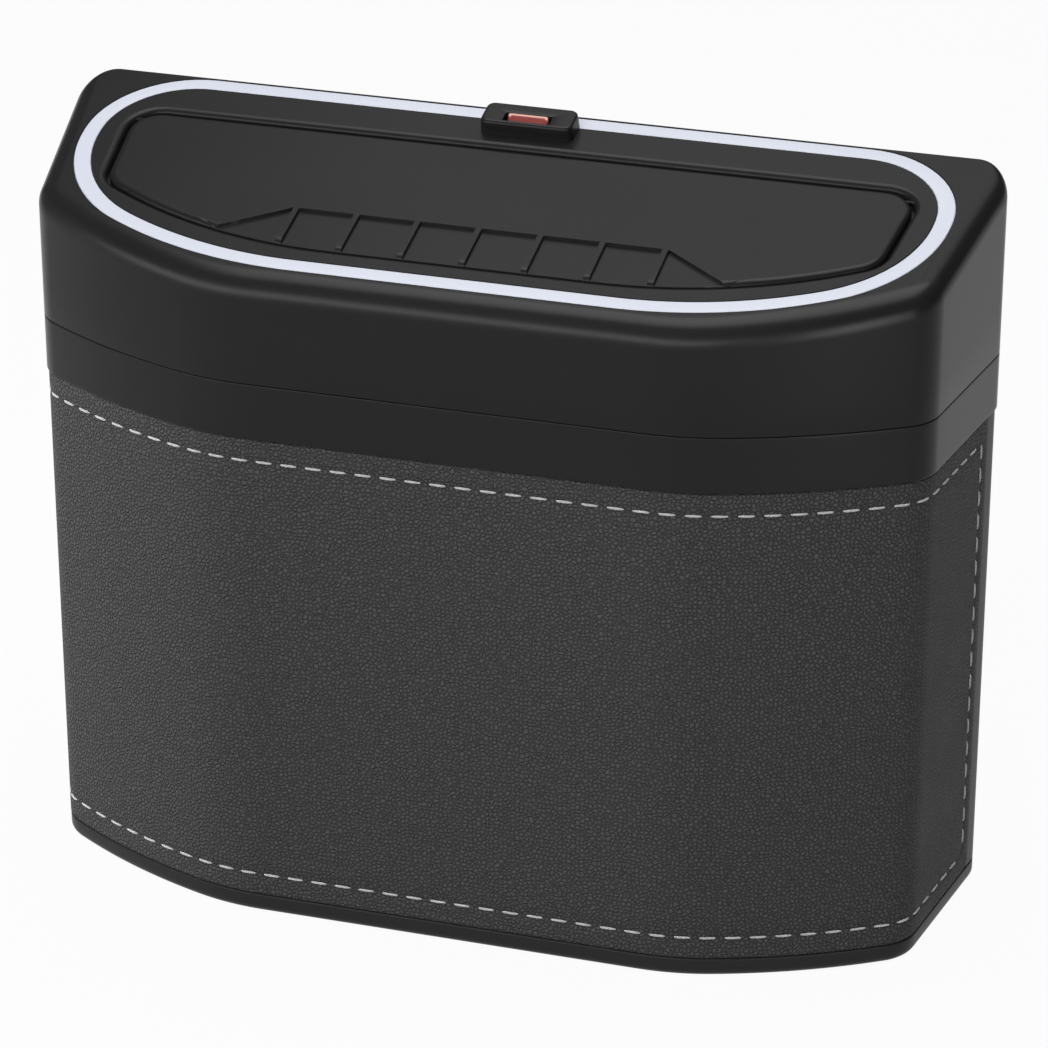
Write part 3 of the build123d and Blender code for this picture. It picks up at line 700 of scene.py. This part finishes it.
# %% Soft edge
edge_radius, side_radius, rear_edge = 7.2, 5.5, 0.75
half_turn = body_outline()[1]
turned = np.concatenate((half_turn, half_turn[-2:0:-1]))
side_heading = radians(sum(angle for radius, angle in body_bends))
flank_heading = radians(body_bends[0][1] + body_bends[1][1])
into_side = smooth((turned - flank_heading) / (side_heading - flank_heading))
into_rear = smooth((turned - side_heading) / (np.pi - side_heading))
ball = edge_radius + (side_radius - edge_radius) * into_side + (rear_edge - side_radius) * into_rear
centre = body - ball[:, None] * body_out
centre = np.column_stack((centre, top_height(centre[:, 1]) - ball / cos(tilt)))
wall_normal = np.column_stack((body_out, np.zeros(columns)))
top_normal = np.array((0.0, -sin(tilt), cos(tilt)))
opened = np.arccos(wall_normal @ top_normal)


def rolled(share):
    """Row of the soft edge: the ball's centre plus its radius in a direction turned from wall to top."""
    from_wall = np.sin((1 - share) * opened) / np.sin(opened)
    from_top = np.sin(share * opened) / np.sin(opened)
    return centre + ball[:, None] * (from_wall[:, None] * wall_normal + from_top[:, None] * top_normal)


soft_edge = [rolled(share) for share in np.linspace(0, 1, 13)]
print("soft edge: radius from", round(ball.max(), 2), "to", round(ball.min(), 2), "mm")

# %% Rows of the cover
cover_wall, seam_edge, hair_line, lip_radius = 2.8, 0.2, 0.15, 1.7
press_fit, groove_depth, groove_edge = 0.1, 2.0, 0.15
spigot_inset, spigot_wall, spigot_height, spigot_root = 2.6, 1.8, 6.0, 4.0
rear_column = len(half_turn) - 1
seam_low = collar_top + hair_line  # the cover closes down to a hair line at the seam
wall_foot, wall_head = seam_low + seam_edge, centre[:, 2]
roof = top_height((body - cover_wall * body_out)[:, 1]) - cover_wall / cos(tilt)
root_z = cover_base + spigot_root
hole_rows = np.array((socket_low[2] - socket_room, socket_high[2] + socket_room))
outer_share = (hole_rows - wall_foot) / (wall_head[rear_column] - wall_foot)
inner_share = (hole_rows - root_z) / (roof[rear_column] - root_z)


def wall_row(share):
    """Row of the outer wall at a share of the way from its foot to the soft edge."""
    return body_row(0.0, wall_foot + share * (wall_head - wall_foot))


def room_row(share):
    """Row of the inner wall at a share of the way from the spigot's root to the roof."""
    return body_row(cover_wall, root_z + share * (roof - root_z))


def ring_row(inset, depth):
    """Row of the top at an inset of the ring's outer edge."""
    return on_slope(ring - inset * ring_out, depth)


def beside(start, end):
    """Row close to the start on the way to the end, which keeps the shade of the flat between them even."""
    close, most = 0.3, 0.45  # millimetres, and share of the way
    gone = end - start
    length = np.linalg.norm(gone, axis=1, keepdims=True)
    return start + gone * np.minimum(close / length, most)


inner_edge = ring_width + press_fit
groove = [
    ring_row(-press_fit - groove_edge, 0.0),
    ring_row(-press_fit, groove_edge),
    ring_row(-press_fit, groove_depth),
    ring_row(inner_edge, groove_depth),
    ring_row(inner_edge, groove_edge),
    ring_row(inner_edge + groove_edge, 0.0),
]
lip_rows = [
    on_slope(opening + lip_radius * (1 - sin(a)) * opening_out, lip_radius * (1 - cos(a))) for a in QUARTER
]

# %% Cover skin
low_share, high_share = 0.3, 0.985  # rows that keep the shade of the wall even
seam = lower_round(0.0, seam_low, seam_edge)
outer_rows = [*seam, *map(wall_row, (low_share, *outer_share, high_share))]
top_rows = [
    *soft_edge, beside(soft_edge[-1], groove[0]), beside(groove[0], soft_edge[-1]),
    *groove, beside(groove[-1], lip_rows[0]), beside(lip_rows[0], groove[-1]), *lip_rows,
]
spigot_inner, spigot_foot = spigot_inset + spigot_wall, cover_base - spigot_height
inner_rows = [
    on_slope(opening, cover_wall),
    body_row(cover_wall, roof),
    room_row(inner_share[1]),
    room_row(inner_share[0]),
    body_row(cover_wall, root_z),
    body_row(spigot_inner, root_z),
    body_row(spigot_inner, spigot_foot),
    body_row(spigot_inset, spigot_foot),
    body_row(spigot_inset, seam_low),
]
cover_grid = np.stack(outer_rows + top_rows + inner_rows)
hole_columns = np.arange(rear_column - 2, rear_column + 3)
outer_row, inner_row = len(seam) + 1, len(outer_rows) + len(top_rows) + 2
left_out = np.zeros(cover_grid.shape[:2], bool)
left_out[np.ix_((outer_row, inner_row), hole_columns[:-1])] = True


def hole_loop(low, high):
    """Point numbers round the socket's hole, along one row of the grid and back along another."""
    return np.concatenate((low * columns + hole_columns, high * columns + hole_columns[::-1]))


bridge = (hole_loop(outer_row, outer_row + 1), hole_loop(inner_row + 1, inner_row))
cover = skin("cover_skin", cover_grid, left_out=left_out, bridges=[bridge], crease=32)
place_piece(cover, "cover", "satin_plastic", satin_abs, "top_cover")

# %% [markdown]
# ## The light ring
# The diffuser is an upturned U pressed into the groove. Its face could be flat, but a very slight
# crown catches the light evenly and keeps the edge against the cover a clean line.

# %% Light ring
ring_sink, lens_thickness, lens_leg, crown, lens_edge = 0.1, 0.8, 0.6, 0.06, 0.12
face_inset = np.linspace(lens_edge, ring_width - lens_edge, 9)
face_depth = ring_sink - crown * (1 - (2 * face_inset / ring_width - 1) ** 2)
lens_rows = [
    ring_row(0.0, groove_depth),
    ring_row(0.0, ring_sink + lens_edge),
    *map(ring_row, face_inset, face_depth),
    ring_row(ring_width, ring_sink + lens_edge),
    ring_row(ring_width, groove_depth),
    ring_row(ring_width - lens_leg, groove_depth),
    ring_row(ring_width - lens_leg, ring_sink + lens_thickness),
    ring_row(lens_leg, ring_sink + lens_thickness),
    ring_row(lens_leg, groove_depth),
]
diffuser = skin("ring_diffuser", np.stack(lens_rows))
place_piece(diffuser, "cover", "diffuser", opal, "light_ring")

# %% [markdown]
# ## The lid
# The lid lies flush with the top. Its edge is rounded, and a row of shallow grip pockets opens at
# its front edge: six square ones and a three-cornered one at each end, parted by thin ribs. Cutting
# the pockets with a boolean would leave ragged faces, so the plan is a grid with columns at the
# ribs. It runs from the rear and side edge to the back line of the pockets and on to the front
# edge. The depth at each point is the larger of the edge rounding and the pocket.

# %% Pocket lines
pocket_depth, pocket_length = 0.9, 15.6
rib_count, rib_pitch, rib_width = 7, 16.15, 1.7
end_angle = radians(33.3)  # slant of the three-cornered pockets
lid_points, lid_heading = half_outline(*lid_sizes)
fine_lid, fine_turn = half_outline(*lid_sizes, fine=10)
front_part = fine_turn < radians(80)  # the edge that faces the front
end_x = (rib_count - 1) * rib_pitch / 2 + rib_width / 2


def front_at(x):
    """Front edge of the lid at x, on the way up the slope."""
    return np.interp(np.abs(x), fine_lid[front_part, 0], fine_lid[front_part, 1])


def back_at(x):
    """Back line of the pockets at x: level between the outer ribs, then down at the end angle."""
    return lid_front + pocket_length - np.maximum(np.abs(x) - end_x, 0) * tan(end_angle)


scan = np.linspace(end_x, half_width, 4000)
tip_x = float(scan[np.argmax(back_at(scan) < front_at(scan))])
print("lid: pockets end at x", round(tip_x, 1), "mm")

# %% Lid plan
past_end, tip_room, tip_turn = 0.5, 1.0, radians(20)
# Columns beside the wall of a rib, close together where the depth changes
rib_offsets = rib_width / 2 + np.array((-0.85, -0.5, -0.25, -0.1, 0.0, 0.1, 0.25, 0.5, 1.5, 4.0))
ribs = rib_pitch * np.arange(rib_count // 2 + 1)[:, None]
mid_x = np.unique(np.round(np.concatenate((ribs + rib_offsets, ribs - rib_offsets)).ravel(), 4))
mid_x = mid_x[(mid_x >= 0) & (mid_x <= end_x + past_end)]
outer_edge = np.flatnonzero((lid_heading < np.pi) & (lid_points[:, 0] > tip_x + tip_room))[::-1]
end_steps = np.linspace(0, 1, len(outer_edge) + 2)[1:]
grip_x = np.concatenate((mid_x, mid_x[-1] + (tip_x - mid_x[-1]) * end_steps))
rear_half = float(lid_points[lid_heading >= np.pi, 0].max())
tip = np.array(((tip_x, front_at(tip_x)),))
rear_line = np.column_stack((mid_x * rear_half / mid_x[-1], np.full(len(mid_x), lid_sizes[1])))
edge = np.concatenate((rear_line, lid_points[outer_edge], tip))
edge_turn = np.concatenate((np.full(len(mid_x), np.pi), lid_heading[outer_edge], [tip_turn]))
edge_out = np.column_stack((np.sin(edge_turn), -np.cos(edge_turn)))
line = np.column_stack((grip_x, back_at(grip_x)))
line[-1] = tip
front_edge = np.column_stack((grip_x, front_at(grip_x)))

# %% Lid rows
past_lip, ease_room = 0.3, 3 * lip_radius  # rows close up where a field is narrower than this
back_steps = (0.7, 0.35, 0.2, 0.1, 0.0, -0.1, -0.2, -0.35, -0.7)  # across the back line
ease = np.minimum(np.linalg.norm(edge - line, axis=1, keepdims=True) / ease_room, 1.0)
ease_front = np.minimum((line - front_edge)[:, 1:] / ease_room, 1.0)
up = np.array((0.0, 1.0))
rim = [edge - ease * lip_radius * (1 - cos(a)) * edge_out for a in QUARTER]
rim.append(edge - ease * (lip_radius + past_lip) * edge_out)
back_rows = [line + ease_front * step * up for step in back_steps]
field = [rim[-1] + (back_rows[0] - rim[-1]) * share for share in (0.12, 0.3, 0.5, 0.7, 0.88)]
front_rim = [front_edge + ease_front * lip_radius * (1 - cos(a)) * up for a in QUARTER[::-1]]
floor_rows = [back_rows[-1] + (front_rim[0] - back_rows[-1]) * share for share in (0.33, 0.66)]
plan = np.stack(rim + field + back_rows + floor_rows + front_rim)
plan = np.concatenate((plan[:, :0:-1] * np.array((-1.0, 1.0)), plan), axis=1)
print("lid plan:", plan.shape[0], "rows by", plan.shape[1], "columns")

# %% Distance to the lid's edge
def edge_distance(points, loop):
    """Distance of each point to a closed line: to the nearest spot on each of its straight pieces."""
    run = np.roll(loop, -1, axis=0) - loop
    gone = points[:, None, :] - loop[None]
    share = np.clip((gone * run).sum(-1) / np.maximum((run**2).sum(-1), 1e-12), 0, 1)
    return np.linalg.norm(gone - share[..., None] * run, axis=-1).min(axis=1)


# %% Lid skin
wall_run, underside = 0.2, 2.35  # run of a pocket's wall in the plan, and depth of the lid's underside
x, s = plan[..., 0], plan[..., 1]
lid_loop = whole_loop((lid_points, lid_heading))[0]
inside = edge_distance(plan.reshape(-1, 2), lid_loop).reshape(x.shape)
over = np.maximum(lip_radius - inside, 0)
rounding = lip_radius - np.sqrt(np.maximum(lip_radius**2 - over**2, 0))
slant = np.where(np.abs(x) > end_x, cos(end_angle), 1.0)
before_line = smooth((back_at(x) - s) * slant / wall_run + 0.5)
nearest_rib = np.minimum(np.round(np.abs(x) / rib_pitch), rib_count // 2)
off_rib = np.abs(np.abs(x) - rib_pitch * nearest_rib)
clear_of_rib = smooth((off_rib - rib_width / 2) / wall_run + 0.5)
depth = np.maximum(rounding, pocket_depth * before_line * clear_of_rib)
upper = np.stack([on_slope(row, deep) for row, deep in zip(plan, depth)])
line_row = len(rim) + len(field) + back_steps.index(0.0)
field_row = len(rim) + len(field) // 2
under_rows = np.stack([on_slope(plan[i], underside) for i in (-1, line_row, field_row, 0)])
lid_skin = skin("lid_skin", np.concatenate((upper, under_rows)), around=False, crease=50)
place_piece(lid_skin, "lid", "satin_plastic", satin_abs, "lid")

# %% [markdown]
# ## The light switch
# A small block stands on the rear of the ring. Its walls lean in a little, its edges are soft, and
# a slot in its top holds the red bar. A bevelled box with a boolean slot would be close, but here
# both are rounded rectangles carried up a section, so wall, edge, slot rim and slot are one skin.

# %% Sizes of the switch
block_half = box_mm("light_module_case")[1][0]
block_length, block_margin, block_height, block_corner, block_edge = 9.6, 3.4, 4.2, 2.4, 0.9
block_middle = slope_length - block_margin - block_length / 2
draft, foot_rise = tan(radians(4.0)), 0.5
bar_half, bar_length, bar_setback = box_mm("light_button")[1][0], 3.0, 3.2
bar_middle = slope_length - block_margin - block_length + bar_setback
slot_room, slot_gap, slot_corner, slot_depth = 1.0, 0.3, 0.3, 3.2
slot_rim = ((0.2, 0.0), (0.05, 0.06), (0.0, 0.2))  # outset and depth of its eased rim
fall_start = 0.35  # where the bar's front begins to fall, in half lengths behind its middle
CORNER_POINTS = 7


# %% Rows of block and slot
def rounded_row(half_x, half_s, radius, middle, rise, fall=0.0):
    """Rounded rectangle on the sloping top: quarter circles about four corner centres.

    fall lowers the bar's front: the slope begins behind its middle and ends short of its front edge.
    """
    starts = np.arange(4) * np.pi / 2
    turn = np.concatenate([np.linspace(a, a + np.pi / 2, CORNER_POINTS) for a in starts])
    quarter = np.repeat(np.arange(4), CORNER_POINTS)
    side_x = np.where((quarter == 0) | (quarter == 3), 1.0, -1.0)
    side_s = np.where(quarter < 2, 1.0, -1.0)
    x = side_x * (half_x - radius) + radius * np.cos(turn)
    s = side_s * (half_s - radius) + radius * np.sin(turn)
    lowered = fall * np.clip(fall_start - s / (bar_length / 2), 0, 1)
    return on_slope(np.column_stack((x, middle + s)), lowered - rise)


def block_row(inset, rise):
    """Row of the block at an inset of its outline, that high above the top."""
    return rounded_row(block_half - inset, block_length / 2 - inset, block_corner - inset, block_middle, rise)


def slot_row(outset, depth):
    """Row of the slot at an outset of its outline, that deep below the block's upper side."""
    half_x, half_s = bar_half + slot_room + outset, bar_length / 2 + slot_gap + outset
    return rounded_row(half_x, half_s, slot_corner + outset, bar_middle, block_height - depth)


# %% Switch block
shoulder = block_height - block_edge
lean = draft * shoulder
block = skin("switch_block", np.stack([
    block_row(0.0, 0.0),
    block_row(draft * foot_rise, foot_rise),
    block_row(lean, shoulder),
    *[block_row(lean + block_edge * (1 - cos(a)), shoulder + block_edge * sin(a)) for a in QUARTER[1:]],
    *[slot_row(outset, depth) for outset, depth in slot_rim],
    slot_row(0.0, slot_depth),
]), across=False)
place_piece(block, "cover", "satin_plastic", satin_abs, "light_module_case")

# %% [markdown]
# ## The red bar
# The bar's rear third is flat and its front slopes down into the slot. Rows that step inwards over
# its top keep the crease between the two crisp, where one large face would be bent out of true.

# %% Switch bar
bar_rise, bar_edge, bar_fall, bar_room = 0.2, 0.4, 1.45, 1.2  # bar_room is left for its travel
bar_corner, least_corner = 0.6, 0.03
bar_base, bar_top = block_height - slot_depth + bar_room, block_height + bar_rise


def bar_row(inset, rise, fall):
    """Row of the bar at an inset of its outline."""
    corner = max(bar_corner - inset, least_corner)
    return rounded_row(bar_half - inset, bar_length / 2 - inset, corner, bar_middle, rise, fall)


bar = skin("switch_bar", np.stack([
    bar_row(0.0, bar_base, 0.0),
    bar_row(0.0, bar_top - bar_edge, bar_fall),
    *[bar_row(bar_edge * (1 - cos(a)), bar_top - bar_edge * (1 - sin(a)), bar_fall) for a in QUARTER[1:]],
    *[bar_row(bar_edge + step, bar_top, bar_fall) for step in (0.05, 0.125, 0.35, 0.575, 0.8, 1.05)],
]), across=False)
place_piece(bar, "button", "red_plastic", acrylic, "light_button")

# %% [markdown]
# ## Camera
# The photo was taken from in front, a little to the right and above, with a long lens. Aiming the
# camera with a constraint would hide its angles, so its right, up and back axes are worked out from
# azimuth and elevation. The lamps use the same function.

# %% Camera
def facing(turn, rise, place):
    """Matrix of an object at a place in metres that looks from a turn and a rise, in degrees.

    turn goes from the front to the right. The back axis is (sin turn cos rise, -cos turn cos rise,
    sin rise), and the right axis stays level.
    """
    a, e = radians(turn), radians(rise)
    right = np.array((cos(a), sin(a), 0.0))
    back = np.array((sin(a) * cos(e), -cos(a) * cos(e), sin(e)))
    matrix = np.eye(4)
    matrix[:3, :3] = np.stack((right, np.cross(back, right), back), axis=1)
    matrix[:3, 3] = place
    return Matrix(matrix.tolist())


azimuth, elevation = 17.09, 25.28
photo_pixels, focal_pixels, sensor = 1048, 4395, 36.0
camera_place = np.array((312.3, front_y - 945.8, 591.9)) * MM
lens = bpy.data.cameras.new("camera")
lens.sensor_width, lens.lens = sensor, sensor * focal_pixels / photo_pixels
camera = bpy.data.objects.new("camera", lens)
camera.matrix_world = facing(azimuth, elevation, camera_place)
scene.collection.objects.link(camera)
scene.camera = camera
print("lens", round(lens.lens, 1), "mm")

# %% [markdown]
# ## Floor
# A pale paper sweep lies under the bin. A floor lit to white would need lamps that are too strong
# for the bin. So the paper is grey to the lamps and almost white to the camera and in mirrored or
# refracted rays, and a small share of its shading stays, so that the shadow shows.

# %% Floor
floor_reach, white_share = 6.0, 0.95
corners = floor_reach * np.array(((-1, -1, 0), (1, -1, 0), (1, 1, 0), (-1, 1, 0)))
floor_mesh = bpy.data.meshes.new("floor")
floor_mesh.from_pydata(corners, [], [(0, 1, 2, 3)])
floor = bpy.data.objects.new("floor", floor_mesh)
scene.collection.objects.link(floor)
paper, tree, shader = start_finish(
    "paper_sweep_white", Base_Color=linear("#909090"), Roughness=0.9, Specular_IOR_Level=0.0
)
ray = add(tree, "LightPath").node.outputs
seen = add(tree, "Math", None, {0: ray["Is Camera Ray"], 1: ray["Is Glossy Ray"]}, operation="MAXIMUM")
seen = add(tree, "Math", None, {0: seen, 1: ray["Is Transmission Ray"]}, operation="MAXIMUM")
share = add(tree, "Math", {1: white_share}, {0: seen}, operation="MULTIPLY")
white = add(tree, "Emission", {"Color": (1, 1, 1, 1), "Strength": 1.0})
mixed = add(tree, "MixShader", None, {0: share, 1: shader.outputs[0], 2: white})
tree.links.new(mixed, tree.nodes["Material Output"].inputs["Surface"])
floor_mesh.materials.append(paper)
print("floor", 2 * floor_reach, "m wide")

# %% [markdown]
# ## Light
# Dark satin plastic shows its lamps more than its colour, so each lamp is chosen by what the bin
# mirrors. The soft front edge mirrors two bands: the box overhead and a low card in front, which is
# only mirrored and lights nothing. Two boxes, at the left and in front, light the leather but aren't
# mirrored, because their image would wash out the sloping top. A small box lifts the right side, a
# weak one the rear, and the world adds a little from everywhere.

# %% Lights
bin_middle = np.array((0.0, 0.0, 0.11))


def soft_box(name, turn, rise, distance, width, height, power, mirrored=True, spread=True):
    """Rectangular lamp aimed at the bin's middle, in metres, degrees and watts.

    turn is measured from the front, to the right. mirrored lets glossy faces show the lamp, and
    spread lets it light matt ones.
    """
    lamp = bpy.data.lights.new(name, "AREA")
    lamp.shape, lamp.size, lamp.size_y, lamp.energy = "RECTANGLE", width, height, power
    made = bpy.data.objects.new(name, lamp)
    made.matrix_world = facing(turn, rise, bin_middle) @ Matrix.Translation((0, 0, distance))
    made.visible_glossy, made.visible_diffuse = mirrored, spread
    scene.collection.objects.link(made)
    print(name, "at", [round(v, 2) for v in made.matrix_world.translation], "m")


soft_box("left_box", -88, 7, 1.1, 0.7, 0.6, 24.0, mirrored=False)
soft_box("right_box", 45, 5, 0.9, 0.2, 0.4, 2.5)
soft_box("front_box", -12, 42, 1.2, 0.9, 0.5, 15.0, mirrored=False)
soft_box("front_card", -22, 13, 1.2, 2.2, 0.4, 17.0, spread=False)
soft_box("over_box", 180, 86, 1.4, 1.3, 1.1, 23.0)
soft_box("back_box", 175, 50, 1.5, 1.4, 0.6, 3.0)
world = bpy.data.worlds.new("studio")
scene.world = world
world.use_nodes = True
background = world.node_tree.nodes["Background"].inputs
background["Color"].default_value, background["Strength"].default_value = (1, 1, 1, 1), 0.08
scene.view_settings.view_transform = "Standard"
